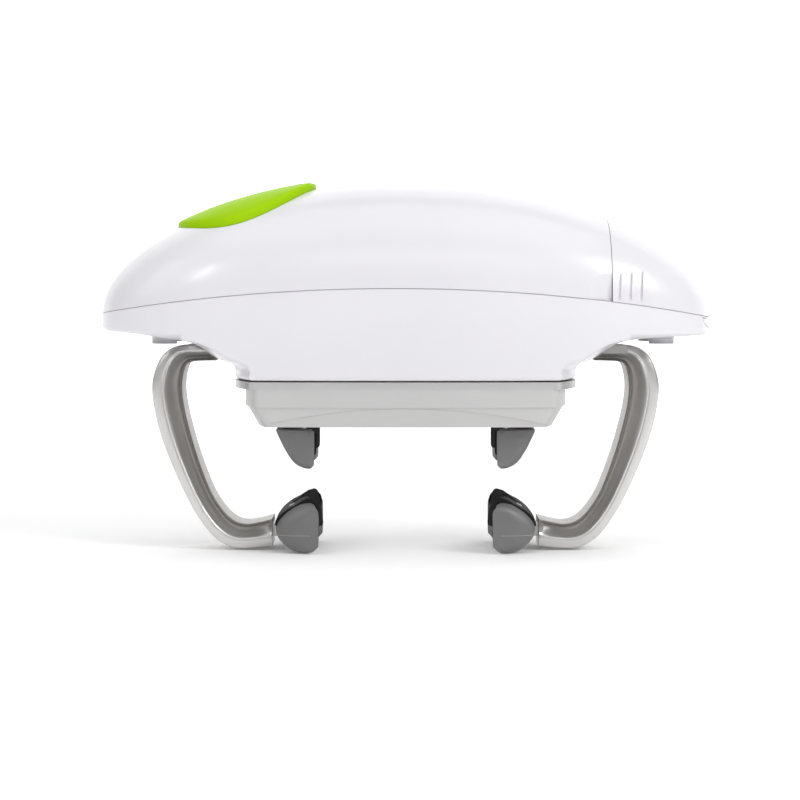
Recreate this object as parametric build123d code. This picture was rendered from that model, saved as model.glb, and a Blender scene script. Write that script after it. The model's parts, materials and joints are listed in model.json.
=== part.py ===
from build123d import *
import math
import os

# Cordless jar opener, standing on the ends of its two outer arms.
# X runs along the body with the battery end at +X, Y across it, Z up.
# The origin is on the table, midway between the arms. Millimetres.

# ---- body shell ----
BODY_HALF_LENGTH = 105.0
BODY_HALF_WIDTH = 38.0
DOME_HEIGHT = 36.0
SIDE_POWER = 2.2
PLAN_POWER = 2.5
DOME_POWER = 2.3
SEAM_CREST_X = -4.0
SEAM_CREST_Z = 90.2
SEAM_RADIUS = 590.0
SEAM_GAP = 0.25
WALL = 2.2
HUB_BOTTOM_Z = 59.4
HUB_SIDE_TAPER = 0.18
HUB_END_RADIUS = 67.8
HUB_END_CENTRE = 8.8
LEFT_UNDERSIDE_Z = 75.6
RIGHT_UNDERSIDE_Z = 74.3
NOSE_CORNER = 4.2
FOOT_LEFT_X = -81.8
FOOT_RIGHT_X = 86.8
FOOT_Y = 17.5
FOOT_RADIUS = 4.3
FOOT_BOTTOM_Z = 71.6

# ---- button, door and latch ----
BUTTON_X = -54.7
BUTTON_HALF_LENGTH = 23.9
BUTTON_HALF_WIDTH = 24.4
BUTTON_PROUD = 2.2
BUTTON_ROUND = 1.9
BUTTON_TRAVEL = 1.6
BUTTON_GAP = 0.35
DOOR_X = 69.0
DOOR_GAP = 0.2
DOOR_RIB_COUNT = 3
DOOR_RIB_PITCH = 3.75
LATCH_HALF_WIDTH = 14.0
LATCH_HEIGHT = 4.0
LATCH_START_X = 99.0
LATCH_TRAVEL = 1.4
LATCH_GAP = 0.35

# ---- drive train ----
PRESSURE_ANGLE = 25.0
BACKLASH = 0.14
ARM_PINION_TEETH = 14
JAW_PINION_TEETH = 12
MAIN_GEAR_TEETH = 36
PINION_TEETH = 12
SECOND_GEAR_TEETH = 42
FIRST_GEAR_TEETH = 48
MAIN_MODULE = 1.0
SECOND_MODULE = 0.8
FIRST_MODULE = 0.6
SHAFT_RADIUS = 4.0
AXLE_RADIUS = 1.5
RUNNING_CLEARANCE = 0.05
SECOND_AXLE_ANGLE = 156.0
FIRST_AXLE_ANGLE = -60.0
MOTOR_ANGLE = 6.4
MOTOR_RADIUS = 12.0
PLATE_LOW_Z = 73.0
PLATE_HIGH_Z = 89.6
PLATE_THICKNESS = 2.0
POST_PLACES = [(-38, -24), (-38, 24), (22, -24), (22, 24)]

# ---- arms and jar grips ----
ARM_HALF_WIDTH = 10.0
ARM_RACK_Y = 7.0
ARM_RACK_BOTTOM_Z = 66.8
ARM_RACK_TOP_Z = 70.8
GRIP_HALF_WIDTH = 22.0
GRIP_VERTEX_X = -39.6
GRIP_TIP_X = -29.3
GRIP_TOP_Z = 17.9
GRIP_ROUND = 5.0
PAD_THICKNESS = 2.2

# ---- carrier and lid jaws ----
CARRIER_TOP_Z = 56.4
FLANGE_TOP_Z = 58.9
CARRIER_BOTTOM_Z = 43.6
CARRIER_WALL = 2.2
COVER_PINCH = 0.9
JAW_RACK_Y = 6.0
JAW_RACK_BOTTOM_Z = 48.5
JAW_RACK_TOP_Z = 52.5
JAW_HALF_WIDTH = 20.0
JAW_VERTEX_X = -40.0
JAW_TIP_X = -31.0
JAW_TOP_Z = 42.6

# ---- cells and circuit board ----
CELL_RADIUS = 7.2
CELL_LENGTH = 49.0
CELL_X = 67.3
CELL_Y = 7.7
CELL_Z = 86.6
BOARD_Z = 98.0
BOARD_THICKNESS = 1.6
BOARD_POSTS = [(-74, -20.5), (-74, 20.5), (-33, -24), (-33, 24)]

LOW = (Align.CENTER, Align.CENTER, Align.MIN)
nodes = {}


# ---- plain shapes ----

def rod(x, y, z0, z1, radius):
    """Upright cylinder between two heights."""
    return Pos(x, y, z0) * Cylinder(radius, z1 - z0, align=LOW)


def tube(x, y, z0, z1, radius, bore):
    """Upright ring between two heights."""
    return rod(x, y, z0, z1, radius) - rod(x, y, z0 - 1, z1 + 1, bore)


def block(x0, x1, y0, y1, z0, z1):
    """Box between two corners."""
    centre = Pos((x0 + x1) / 2, (y0 + y1) / 2, (z0 + z1) / 2)
    return centre * Box(x1 - x0, y1 - y0, z1 - z0)


def prism_z(points, z0, z1):
    """Straight-sided plan outline, extruded upward."""
    corners = [(x, y, z0) for x, y in points]
    face = make_face(Polyline(*corners, close=True))
    return extrude(face, amount=z1 - z0, dir=(0, 0, 1))


def across(edges, half_width):
    """Profile in the XZ plane, extruded across the body."""
    return extrude(make_face(edges), amount=half_width, dir=(0, 1, 0), both=True)


def raised(points):
    """Profile points given as length and height, set in the XZ plane."""
    return [(x, 0, z) for x, z in points]


def cap_screw(x, y, z_head, z_tip, radius, head_radius, head_height):
    """Screw whose head is at z_head and whose shank ends at z_tip."""
    way = 1 if z_tip > z_head else -1
    inner_z = z_head + way * head_height
    head = rod(x, y, min(z_head, inner_z), max(z_head, inner_z), head_radius)
    shank = rod(x, y, min(inner_z, z_tip), max(inner_z, z_tip), radius)
    slot = Pos(x, y, z_head) * Box(head_radius * 1.3, 0.5, head_height * 0.9)
    return head + shank - slot


def mirrored(shape):
    """The same shape on the other end of the body."""
    return mirror(shape, about=Plane.YZ)


def turned(shape):
    """The same shape turned half a turn about the vertical axis."""
    return Rot(0, 0, 180) * shape


def polar(radius, degrees):
    """Plan point at a radius and an angle."""
    a = math.radians(degrees)
    return radius * math.cos(a), radius * math.sin(a)


# ---- body form ----

def seam_z(x):
    """Height of the line between the two housings."""
    return SEAM_CREST_Z - (x - SEAM_CREST_X) ** 2 / (2 * SEAM_RADIUS)


def rounded_share(share, power):
    """Height of a superellipse of unit size at a share of its length."""
    return max(0.0, 1 - abs(share) ** power) ** (1 / power)


def body_section(share, inset):
    """Cross-section of the body at a share of its half length."""
    x = share * (BODY_HALF_LENGTH - inset)
    width = (BODY_HALF_WIDTH - inset) * rounded_share(share, PLAN_POWER)
    height = (DOME_HEIGHT - inset) * rounded_share(share, SIDE_POWER)
    seam = seam_z(x)
    floor = HUB_BOTTOM_Z + inset
    dome = []
    for i in range(13):
        a = math.radians(180 - 15 * i)
        reach = abs(math.cos(a)) ** (2 / DOME_POWER)
        rise = max(0.0, math.sin(a)) ** (2 / DOME_POWER)
        dome.append((x, math.copysign(reach, math.cos(a)) * width, seam + rise * height))
    wall = []
    for i in range(5):
        drop = i / 4
        y = width * (1 - HUB_SIDE_TAPER * drop ** 1.6)
        wall.append((x, y, seam + (floor - seam) * drop))
    other = [(px, -py, pz) for px, py, pz in reversed(wall)]
    edges = [
        Spline(*dome, tangents=[(0, 0, 1), (0, 0, -1)]),
        Spline(*wall),
        Line(wall[-1], other[0]),
        Spline(*other),
    ]
    return make_face(edges)


def end_undercut(inset, underside_z):
    """Space under the right end: a concave flare turned about a vertical axis."""
    r0 = HUB_END_RADIUS - inset
    z0 = HUB_BOTTOM_Z + inset
    lip = (0, -r0, z0 + 3.2)
    nose = r0 + 46.0
    flat_end = (0, -nose + NOSE_CORNER, underside_z + inset)
    corner_top = (0, -nose, underside_z + inset + NOSE_CORNER)
    flare = Spline(
        lip,
        (0, -r0 - 4.6, z0 + 6.2),
        (0, -r0 - 13.0, z0 + 11.4),
        (0, -r0 - 24.0, z0 + 14.0),
        flat_end,
        tangents=[(0, -0.25, 1), (0, -1, 0.04)],
    )
    corner = Spline(flat_end, corner_top, tangents=[(0, -1, 0.04), (0, -0.02, 1)])
    far = -nose - 10
    edges = [
        Line((0, -r0, 40), lip),
        flare,
        corner,
        Line(corner_top, (0, far, corner_top[2])),
        Line((0, far, corner_top[2]), (0, far, 40)),
        Line((0, far, 40), (0, -r0, 40)),
    ]
    ring = revolve(make_face(edges), Axis((0, 0, 0), (0, 0, 1)), 180)
    return Pos(-HUB_END_CENTRE, 0, 0) * ring


def body_form(inset):
    """Whole outer form of the body, moved inward by inset."""
    near = [0, 0.22, 0.42, 0.58, 0.70, 0.80, 0.875, 0.93, 0.965, 0.985, 0.9965]
    shares = [-s for s in reversed(near[1:])] + near
    form = loft([body_section(s, inset) for s in shares])
    form -= end_undercut(inset, RIGHT_UNDERSIDE_Z)
    form -= mirrored(end_undercut(inset, LEFT_UNDERSIDE_Z))
    return form


def below_seam(drop):
    """Everything below the seam line, lowered by drop."""
    ends = [(x, 0, seam_z(x) - drop) for x in (-130, SEAM_CREST_X, 130)]
    edges = [
        ThreePointArc(*ends),
        Line(ends[2], (130, 0, 30)),
        Line((130, 0, 30), (-130, 0, 30)),
        Line((-130, 0, 30), ends[0]),
    ]
    return across(edges, 60)


def button_column(grow, z0, z1):
    """Upright oval column on the button's centre."""
    oval = Ellipse(BUTTON_HALF_LENGTH + grow, BUTTON_HALF_WIDTH + grow)
    return Pos(BUTTON_X, 0, z0) * extrude(oval, amount=z1 - z0)


def latch_column(grow, start_x):
    """Half-oval bar along X from start_x out past the nose, under the seam."""
    nose_z = seam_z(BODY_HALF_LENGTH)
    oval = Plane.YZ * Ellipse(LATCH_HALF_WIDTH + grow, LATCH_HEIGHT + grow)
    bar = Pos(start_x, 0, nose_z) * extrude(oval, amount=20)
    return bar & block(80, 120, -30, 30, 60, nose_z - 0.1 + grow)


EDGE_RADIUS = 1.5


def is_underside_edge(edge):
    """True for the long edges around the hub and under the ends."""
    box = edge.bounding_box()
    return box.max.Z < 78 and edge.length > 8


outer = body_form(0)
outer = fillet([e for e in outer.edges() if is_underside_edge(e)], EDGE_RADIUS)
inner = body_form(WALL)
half_wall = body_form(WALL / 2)
lower_side = below_seam(0)
shell = outer - inner

# ---- lower housing, with its screw feet, gearbox posts and arm tunnels ----
floor_z = HUB_BOTTOM_Z + WALL
lower = shell & lower_side
for y in (-FOOT_Y, FOOT_Y):
    top_left = seam_z(FOOT_LEFT_X) - 0.6
    lower += rod(FOOT_LEFT_X, y, FOOT_BOTTOM_Z, top_left, FOOT_RADIUS)
    lower += rod(FOOT_RIGHT_X, y, FOOT_BOTTOM_Z, 78.0, FOOT_RADIUS)
    for x in (FOOT_LEFT_X, FOOT_RIGHT_X):
        lower -= rod(x, y, FOOT_BOTTOM_Z - 1, FOOT_BOTTOM_Z + 3.0, 2.8)
        lower -= rod(x, y, FOOT_BOTTOM_Z, 100, 1.3)
for x, y in POST_PLACES:
    lower += rod(x, y, floor_z - 0.5, PLATE_LOW_Z, 3.4)
    lower -= rod(x, y, floor_z + 1.0, PLATE_LOW_Z + 1, 1.2)
tunnel = block(-90, -46, -10.6, 13.6, 64.8, 71.4)
lower -= tunnel
lower -= turned(tunnel)
lower -= rod(0, 0, 50, 70, 8.0)
lower -= latch_column(LATCH_GAP, LATCH_START_X - LATCH_TRAVEL - 0.6)
nodes["lower_housing"] = lower

# ---- upper housing, with the button well, board posts and finger scoops ----
upper = (shell - below_seam(-SEAM_GAP)) - block(DOOR_X - DOOR_GAP, 130, -60, 60, 60, 140)
deep_form = body_form(5.0)
well = button_column(BUTTON_GAP + 1.6, 95, 140) & half_wall
upper += well - deep_form
upper -= button_column(BUTTON_GAP, 90, 140)
for x, y in BOARD_POSTS:
    post = rod(x, y, BOARD_Z + BOARD_THICKNESS, 130, 2.4) & half_wall
    upper += post - button_column(BUTTON_GAP + 0.2, 90, 140)
    upper -= rod(x, y, BOARD_Z, BOARD_Z + 6, 0.8)
for y in (-FOOT_Y, FOOT_Y):
    upper += rod(FOOT_LEFT_X, y, seam_z(FOOT_LEFT_X) - 0.3, 130, 3.6) & half_wall
    upper -= rod(FOOT_LEFT_X, y, 80, 94, 1.1)
SCOOP_RADIUS = 38.0
for side in (-1, 1):
    upper -= Pos(79.0, side * 67.0, 89.5) * Sphere(SCOOP_RADIUS)
nodes["upper_housing"] = upper

# ---- battery door with grip ribs on both sides ----
door = shell - below_seam(-SEAM_GAP)
door &= block(DOOR_X, 130, -60, 60, 60, 140)
rib_skin = body_form(-0.8) - half_wall
for i in range(DOOR_RIB_COUNT):
    rib_x = 72.3 + i * DOOR_RIB_PITCH
    bar = Pos(rib_x, 0, 91.2) * Rot(0, 3.0, 0) * Box(1.0, 80, 8.0 + i * 0.6)
    door += rib_skin & bar
nodes["battery_door"] = door

latch = (shell & latch_column(0, LATCH_START_X)) + block(97.4, 102.6, -4, 4, 77.6, 79.8)
nodes["door_latch"] = latch

# ---- power button, its spring and the switch below it ----
proud_form = body_form(-BUTTON_PROUD)
cap_floor = body_form(1.0)
skirt_floor = body_form(3.2)
button = button_column(0, 90, 140) & proud_form
button = fillet([e for e in button.edges() if e.bounding_box().min.Z > 100], BUTTON_ROUND)
button -= skirt_floor
button -= button_column(-2.0, 90, 140) & cap_floor
SWITCH_TOP_Z = 105.6
button += rod(BUTTON_X, 0, SWITCH_TOP_Z - 1.6, 120.0, 2.2)
nodes["power_button"] = button

SPRING_RADIUS = 3.9
SPRING_WIRE = 0.35
spring_bottom = SWITCH_TOP_Z + SPRING_WIRE + 0.05
spring_height = 12.4
spring_path = Helix(spring_height / 5, spring_height, SPRING_RADIUS)
spring_plane = Plane(origin=spring_path @ 0, z_dir=spring_path % 0)
spring = sweep(spring_plane * Circle(SPRING_WIRE), path=spring_path)
nodes["button_spring"] = Pos(BUTTON_X, 0, spring_bottom) * spring

board_top = BOARD_Z + BOARD_THICKNESS
board = block(-77.3, -29.2, -23, 23, BOARD_Z, board_top)
board += block(-36, -29.2, -27, 27, BOARD_Z, board_top)
for x, y in BOARD_POSTS:
    board -= rod(x, y, BOARD_Z - 1, board_top + 1, 1.0)
nodes["circuit_board"] = board
nodes["board_screws"] = [
    cap_screw(x, y, BOARD_Z - 1.4, BOARD_Z + 5, 0.8, 1.9, 1.4) for x, y in BOARD_POSTS
]
switch = block(BUTTON_X - 6, BUTTON_X + 6, -6, 6, board_top, SWITCH_TOP_Z)
switch -= rod(BUTTON_X, 0, board_top + 1.2, SWITCH_TOP_Z + 1, 2.5)
nodes["power_switch"] = switch


# ---- cells, tray and contacts ----
TRAY_FLOOR_Z = 78.0
TRAY_LEFT_X = 39.4
TRAY_RIGHT_X = 95.2
tray = block(TRAY_LEFT_X, TRAY_RIGHT_X, -16.4, 16.4, TRAY_FLOOR_Z, 86.0)
tray += block(TRAY_LEFT_X, TRAY_LEFT_X + 1.6, -16.4, 16.4, TRAY_FLOOR_Z, 92.0)
tray += block(TRAY_RIGHT_X - 1.4, TRAY_RIGHT_X, -14.4, 14.4, TRAY_FLOOR_Z, 89.0)
tray -= block(TRAY_LEFT_X + 1.6, TRAY_RIGHT_X - 1.4, -15.2, 15.2, TRAY_FLOOR_Z + 1.2, 95)
for y in (-FOOT_Y, FOOT_Y):
    tray += rod(FOOT_RIGHT_X, y, TRAY_FLOOR_Z, 83.0, 3.2)
    tray -= rod(FOOT_RIGHT_X, y, TRAY_FLOOR_Z - 1, 82.0, 1.1)
nodes["battery_tray"] = tray

cells = []
for side in (-1, 1):
    can = Pos(CELL_X, side * CELL_Y, CELL_Z) * Rot(0, 90, 0) * Cylinder(CELL_RADIUS, CELL_LENGTH)
    nub_x = CELL_X + side * (CELL_LENGTH / 2 + 0.6)
    nub = Pos(nub_x, side * CELL_Y, CELL_Z) * Rot(0, 90, 0) * Cylinder(2.6, 1.2)
    cells.append(can + nub)
nodes["battery_cells"] = cells

contacts = []
left_face = TRAY_LEFT_X + 1.6
right_face = TRAY_RIGHT_X - 1.4
for side in (-1, 1):
    y0 = side * CELL_Y - 5
    plate = block(left_face, left_face + 0.4, y0, y0 + 10, 80, 91)
    reach = 1.3 if side > 0 else 0.1
    plate += block(left_face, left_face + reach, y0 + 3, y0 + 7, 84.6, 88.6)
    contacts.append(plate)
far_plate = block(right_face - 0.4, right_face, -12, 12, 80, 88.6)
far_plate += block(right_face - 1.5, right_face, -CELL_Y - 2, -CELL_Y + 2, 84.6, 88.6)
contacts.append(far_plate)
nodes["battery_contacts"] = contacts

nodes["tray_screws"] = [
    cap_screw(FOOT_RIGHT_X, y, FOOT_BOTTOM_Z + 1.4, 81.5, 1.1, 2.6, 1.6)
    for y in (-FOOT_Y, FOOT_Y)
]
nodes["housing_screws"] = [
    cap_screw(FOOT_LEFT_X, y, FOOT_BOTTOM_Z + 1.4, 93.5, 1.1, 2.6, 1.6)
    for y in (-FOOT_Y, FOOT_Y)
]


# ---- toothed shapes ----

def involute_angle(radius, base):
    """Involute function at a radius, in radians."""
    a = math.acos(min(1.0, base / radius))
    return math.tan(a) - a


def gear(teeth, module, z0, z1, bore, first_tooth):
    """Spur gear with one tooth centred on the angle first_tooth, in degrees."""
    pitch = teeth * module / 2
    base = pitch * math.cos(math.radians(PRESSURE_ANGLE))
    tip = pitch + 0.95 * module
    root = pitch - 1.25 * module
    start = max(base, root + 0.1 * module)
    half = math.pi / (2 * teeth) - BACKLASH * module / (4 * pitch)
    at_pitch = half + involute_angle(pitch, base)
    flank = []
    for i in range(3):
        r = start + (tip - start) * (i / 2)
        flank.append((r, at_pitch - involute_angle(r, base)))
    points = []
    for k in range(teeth):
        middle = math.radians(first_tooth) + k * 2 * math.pi / teeth
        points.append((root, middle - flank[0][1]))
        points += [(r, middle - a) for r, a in flank]
        points += [(r, middle + a) for r, a in reversed(flank)]
        points.append((root, middle + flank[0][1]))
    outline = [(r * math.cos(a), r * math.sin(a)) for r, a in points]
    return prism_z(outline, z0, z1) - rod(0, 0, z0 - 1, z1 + 1, bore)


def meshing_tooth(teeth_a, tooth_a, teeth_b, direction):
    """Angle of a tooth on gear b that meshes with gear a, b lying in direction."""
    share = (direction - tooth_a) * teeth_a / 360
    return direction + 180 - (0.5 - share) * 360 / teeth_b


def rack(x0, x1, pitch_y, back_y, z0, z1, module, teeth):
    """Rack with its teeth toward -Y and a gap centred on x = 0."""
    lean = math.tan(math.radians(PRESSURE_ANGLE))
    top = pitch_y - 0.95 * module
    root = pitch_y + 1.25 * module
    half = math.pi * module / 4 - BACKLASH * module / 4
    points = [(x0, back_y), (x0, root)]
    for k in range(-teeth, teeth):
        x = (k + 0.5) * math.pi * module
        points.append((x - half - lean * 1.25 * module, root))
        points.append((x - half + lean * 0.95 * module, top))
        points.append((x + half - lean * 0.95 * module, top))
        points.append((x + half + lean * 1.25 * module, root))
    points += [(x1, root), (x1, back_y)]
    return prism_z(points, z0, z1)


# ---- gearbox ----
second_x, second_y = polar(MAIN_MODULE * (MAIN_GEAR_TEETH + PINION_TEETH) / 2, SECOND_AXLE_ANGLE)
step_x, step_y = polar(SECOND_MODULE * (SECOND_GEAR_TEETH + PINION_TEETH) / 2, FIRST_AXLE_ANGLE)
first_x, first_y = second_x + step_x, second_y + step_y
step_x, step_y = polar(FIRST_MODULE * (FIRST_GEAR_TEETH + PINION_TEETH) / 2, MOTOR_ANGLE)
motor_x, motor_y = first_x + step_x, first_y + step_y

main_tooth = 0.0
second_tooth = meshing_tooth(MAIN_GEAR_TEETH, main_tooth, PINION_TEETH, SECOND_AXLE_ANGLE)
first_tooth = meshing_tooth(SECOND_GEAR_TEETH, 0.0, PINION_TEETH, FIRST_AXLE_ANGLE)
motor_tooth = meshing_tooth(FIRST_GEAR_TEETH, 0.0, PINION_TEETH, MOTOR_ANGLE)
axle_bore = AXLE_RADIUS + RUNNING_CLEARANCE
SHAFT_HIGH_Z = 80.2
MAIN_LOW_Z = 76.0
MAIN_HIGH_Z = 79.6

nodes["main_gear"] = gear(MAIN_GEAR_TEETH, MAIN_MODULE, MAIN_LOW_Z, MAIN_HIGH_Z, SHAFT_RADIUS, main_tooth)

second_gear = gear(PINION_TEETH, MAIN_MODULE, 75.4, 80.6, axle_bore, second_tooth)
second_gear += gear(SECOND_GEAR_TEETH, SECOND_MODULE, 80.6, 83.2, axle_bore, 0.0)
nodes["second_reduction_gear"] = Pos(second_x, second_y, 0) * second_gear

first_gear = gear(PINION_TEETH, SECOND_MODULE, 80.3, 84.0, axle_bore, first_tooth)
first_gear += gear(FIRST_GEAR_TEETH, FIRST_MODULE, 84.0, 86.4, axle_bore, 0.0)
nodes["first_reduction_gear"] = Pos(first_x, first_y, 0) * first_gear

motor_pinion = gear(PINION_TEETH, FIRST_MODULE, 83.8, 87.2, 1.0, motor_tooth)
nodes["motor_pinion"] = Pos(motor_x, motor_y, 0) * motor_pinion
nodes["motor_shaft"] = rod(motor_x, motor_y, 83.4, 112.0, 1.0)

low_plate = block(-42.5, 26.5, -28, 28, PLATE_LOW_Z, PLATE_LOW_Z + PLATE_THICKNESS)
low_plate = fillet(low_plate.edges().filter_by(Axis.Z), 5)
low_plate -= rod(0, 0, 70, 80, 6.0)
high_plate = block(-42.5, 26.5, -28, 28, PLATE_HIGH_Z, PLATE_HIGH_Z + PLATE_THICKNESS)
high_plate = fillet(high_plate.edges().filter_by(Axis.Z), 5)
high_plate -= rod(motor_x, motor_y, 80, 95, 3.1)
low_plate -= rod(second_x, second_y, 70, 80, AXLE_RADIUS)
for x, y in ((second_x, second_y), (first_x, first_y)):
    high_plate -= rod(x, y, 85, 95, AXLE_RADIUS)
for x, y in POST_PLACES:
    low_plate -= rod(x, y, 70, 80, 1.3)
    high_plate -= rod(x, y, 85, 95, 1.3)
nodes["gearbox_bottom_plate"] = low_plate
nodes["gearbox_top_plate"] = high_plate
axle_top = PLATE_HIGH_Z + PLATE_THICKNESS
nodes["gear_axles"] = [
    rod(second_x, second_y, PLATE_LOW_Z, axle_top, AXLE_RADIUS),
    rod(first_x, first_y, SHAFT_HIGH_Z - 0.1, axle_top, AXLE_RADIUS),
]
post_low = PLATE_LOW_Z + PLATE_THICKNESS
nodes["gearbox_spacers"] = [tube(x, y, post_low, PLATE_HIGH_Z, 2.8, 1.3) for x, y in POST_PLACES]
screw_head_z = PLATE_HIGH_Z + PLATE_THICKNESS + 1.6
nodes["gearbox_screws"] = [
    cap_screw(x, y, screw_head_z, floor_z + 2.5, 1.2, 2.6, 1.6) for x, y in POST_PLACES
]

motor_low = PLATE_HIGH_Z + PLATE_THICKNESS
motor = rod(motor_x, motor_y, motor_low, 115.0, MOTOR_RADIUS)
motor = chamfer(motor.edges().sort_by(Axis.Z)[-1], 1.2)
motor += rod(motor_x, motor_y, PLATE_HIGH_Z - 0.2, motor_low, 3.0)
motor += rod(motor_x, motor_y, 115.0, 117.2, 4.2)
motor -= rod(motor_x, motor_y, 80, 112.6, 1.0 + RUNNING_CLEARANCE)
nodes["motor"] = motor

# ---- main shaft and its bearings ----
SHAFT_LOW_Z = 52.9
CLIP_Z = 64.2
shaft = rod(0, 0, SHAFT_LOW_Z, SHAFT_HIGH_Z, SHAFT_RADIUS)
shaft += rod(0, 0, SHAFT_LOW_Z, 54.0, 8.0)
shaft -= tube(0, 0, CLIP_Z, CLIP_Z + 0.9, SHAFT_RADIUS + 1, 3.3)
nodes["main_shaft"] = shaft
clip = tube(0, 0, CLIP_Z + 0.05, CLIP_Z + 0.85, 6.4, 3.35)
clip -= block(0, 10, -2.6, 2.6, CLIP_Z - 1, CLIP_Z + 2)
nodes["shaft_clip"] = clip
bush_bore = SHAFT_RADIUS + RUNNING_CLEARANCE
nodes["hub_bearing"] = tube(0, 0, HUB_BOTTOM_Z, 63.8, 8.0, bush_bore)
upper_bush = tube(0, 0, PLATE_LOW_Z - 1.0, 75.4, 6.0, bush_bore)
nodes["upper_bearing"] = upper_bush + tube(0, 0, PLATE_LOW_Z - 1.8, PLATE_LOW_Z, 7.4, bush_bore)
nodes["thrust_washer"] = tube(0, 0, FLANGE_TOP_Z + 0.1, HUB_BOTTOM_Z, 12.0, SHAFT_RADIUS + 0.1)

arm_pinion = gear(
    ARM_PINION_TEETH, 1.0, ARM_RACK_BOTTOM_Z, ARM_RACK_TOP_Z, bush_bore, 90.0
)
nodes["arm_pinion"] = arm_pinion

guide = block(-45, 45, -17, 17, floor_z, ARM_RACK_BOTTOM_Z - 0.15)
guide += block(-45, 45, 13.4, 15.2, floor_z, ARM_RACK_TOP_Z)
guide += block(-45, 45, -15.2, -13.4, floor_z, ARM_RACK_TOP_Z)
guide -= rod(0, 0, 55, 75, 9.0)
guide -= block(-40, -14, -5, 5, floor_z + 1.5, 75)
guide -= block(14, 40, -5, 5, floor_z + 1.5, 75)
nodes["rack_guide"] = guide

# ---- outer arms ----
ARM_TOP_Z = 70.7
ARM_BAR_TOP_Z = 68.0
ARM_END_X = -46.0


def arm_profile():
    """Side outline of the left arm: a hooked leg with a short bar at its top."""
    outside = Spline(
        *raised([(-77.4, ARM_TOP_Z), (-83.6, 67.6), (-87.2, 57), (-84.4, 40.5), (-76, 19.8)]),
        *raised([(-67.5, 6.2), (-59, 0.9), (-52, 0.8), (ARM_END_X, 1.4)]),
    )
    inside = Spline(
        *raised([(ARM_END_X, 10.9), (-55, 9.1), (-62.5, 13.4), (-69.5, 26.5), (-75.0, 44.5)]),
        *raised([(-76.8, 57), (-75.0, 65.5)]),
    )
    points = raised([(-75.0, 65.5), (-64.8, 65.5), (-64.8, ARM_BAR_TOP_Z), (-76.0, ARM_BAR_TOP_Z)])
    points += raised([(-76.0, ARM_TOP_Z), (-77.4, ARM_TOP_Z)])
    tip = Line((ARM_END_X, 0, 1.4), (ARM_END_X, 0, 10.9))
    return [outside, tip, inside, Polyline(*points)]


def arm_scoop():
    """Hollow that runs down each side of the leg."""
    outside = Spline(
        *raised([(-81.6, 64.5), (-83.6, 56), (-80.9, 40), (-72.9, 20.6), (-65.4, 8.6), (-58, 4.2)]),
        *raised([(-49.5, 4.6)]),
    )
    inside = Spline(
        *raised([(-49.5, 8.4), (-55.5, 7.4), (-63.6, 12.2), (-71.0, 26.5), (-76.6, 44.5)]),
        *raised([(-78.2, 57), (-77.4, 64.5)]),
    )
    low = Line((-49.5, 0, 4.6), (-49.5, 0, 8.4))
    high = Line((-77.4, 0, 64.5), (-81.6, 0, 64.5))
    return [outside, low, inside, high]


def grip_profile():
    """Side outline of the left jar grip."""
    back = Spline(
        *raised([(-33.5, GRIP_TOP_Z), (-39.4, 15.7), (-43.4, 12.0), (-44.3, 8.2), (-42.4, 3.8)]),
        (-38.0, 0, 0),
        tangents=[(-1, 0, -0.1), (0.7, 0, -0.5)],
    )
    front = Polyline(*raised([(-38.0, 0), (-28.9, 0), (-30.9, GRIP_TOP_Z), (-33.5, GRIP_TOP_Z)]))
    return [back, front]


def is_flat_in_y(edge):
    """True for an edge that lies in one end face."""
    box = edge.bounding_box()
    return box.max.Y - box.min.Y < 0.01


def vee(vertex_x, tip_x, half_width, z0, z1):
    """Wedge that opens toward the middle of the jar."""
    slope = (tip_x - vertex_x) / half_width
    far = half_width + 4
    far_x = vertex_x + slope * far
    return prism_z([(vertex_x, 0), (far_x, far), (0, far), (0, -far), (far_x, -far)], z0, z1)


arm = across(arm_profile(), ARM_HALF_WIDTH)
hollow = across(arm_scoop(), ARM_HALF_WIDTH + 1)
web = block(-100, -40, -7.6, 7.6, -5, 80)
arm -= hollow - web
tongue = block(-48.0, GRIP_VERTEX_X - PAD_THICKNESS - 0.4, -4.5, 4.5, 4.5, 9.0)
arm += tongue
ARM_SCREWS = [(-71.4, 0), (-67.0, 0)]
for x, y in ARM_SCREWS:
    arm -= rod(x, y, 60, 75, 1.2)
    arm -= rod(x, y, 60, 66.8, 2.15)
nodes["arm_left"] = arm
nodes["arm_right"] = mirrored(arm)

arm_rack = rack(-74.5, 22.5, ARM_RACK_Y, 12.8, ARM_RACK_BOTTOM_Z, ARM_RACK_TOP_Z, 1.0, 7)
arm_rack -= block(-80, -64.6, 0, 20, 60, ARM_BAR_TOP_Z)
plate = block(-75.8, -62.0, -9, 12.8, ARM_BAR_TOP_Z, ARM_RACK_TOP_Z)
arm_rack += plate
for x, y in ARM_SCREWS:
    arm_rack -= rod(x, y, 60, ARM_RACK_TOP_Z - 0.6, 1.2)
nodes["arm_rack_left"] = arm_rack
nodes["arm_rack_right"] = turned(arm_rack)
arm_screws = [cap_screw(x, y, 65.7, 69.9, 1.2, 2.1, 1.1) for x, y in ARM_SCREWS]
nodes["arm_screws_left"] = arm_screws
nodes["arm_screws_right"] = [turned(s) for s in arm_screws]

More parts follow.
